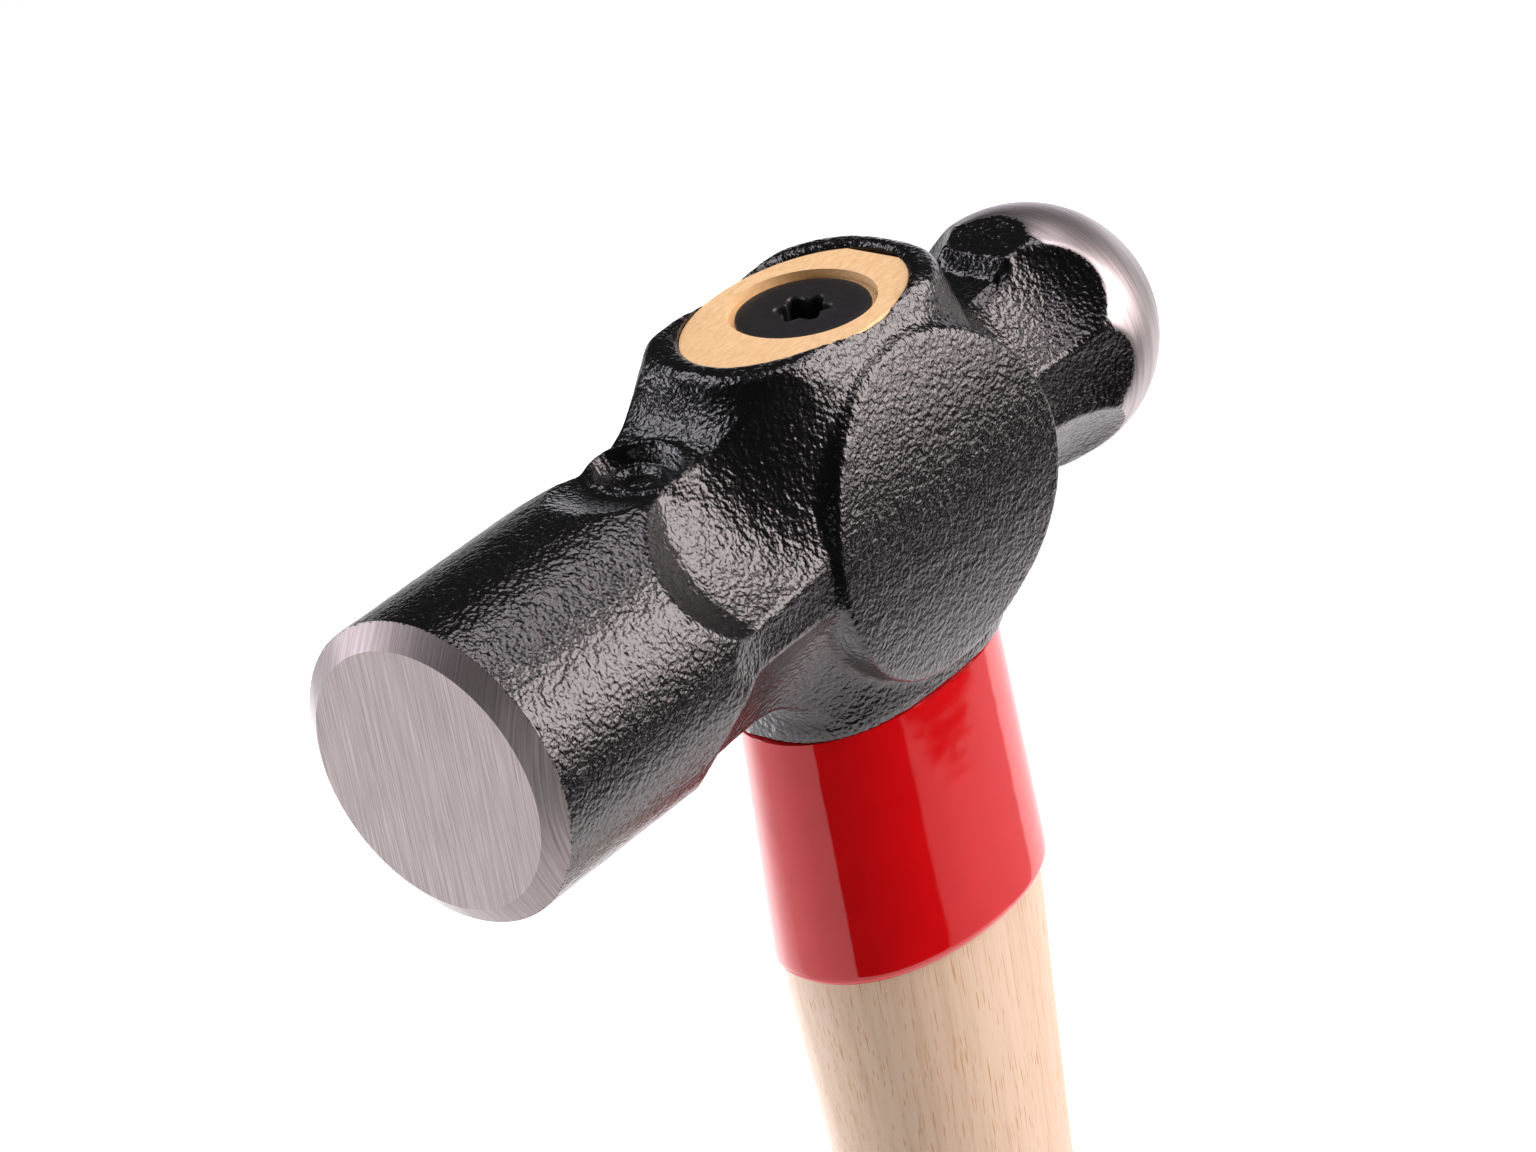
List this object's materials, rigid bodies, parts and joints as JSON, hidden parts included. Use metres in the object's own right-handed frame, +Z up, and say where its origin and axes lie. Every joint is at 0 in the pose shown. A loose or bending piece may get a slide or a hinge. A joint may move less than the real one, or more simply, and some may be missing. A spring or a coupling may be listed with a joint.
{
  "type": "ball peen hammer",
  "caption": "Ball peen hammer: forged head with a round striking face and a ball end, oval wooden handle, steel guard sleeve and a wedge screw in the eye.",
  "frame": {"origin": "centre of the flat butt end of the handle", "axes": "+Z runs up the handle to the head, +X points to the flat striking face (the ball points to -X), +Y points to one of the two cheek pads"},
  "size_m": [0.1195, 0.0348, 0.36],
  "materials": {
    "head_steel": "black lacquered forging with ground bare steel face and ball",
    "hickory": "pale hickory, fine sanded and thinly lacquered",
    "sleeve_paint": "gloss red powder coat",
    "screw_steel": "matt black phosphated steel"
  },
  "bodies": {
    "root": {"hammer_head": "head_steel", "handle": "hickory", "guard_sleeve": "sleeve_paint", "wedge_screw": "screw_steel"}
  },
  "joints": []
}
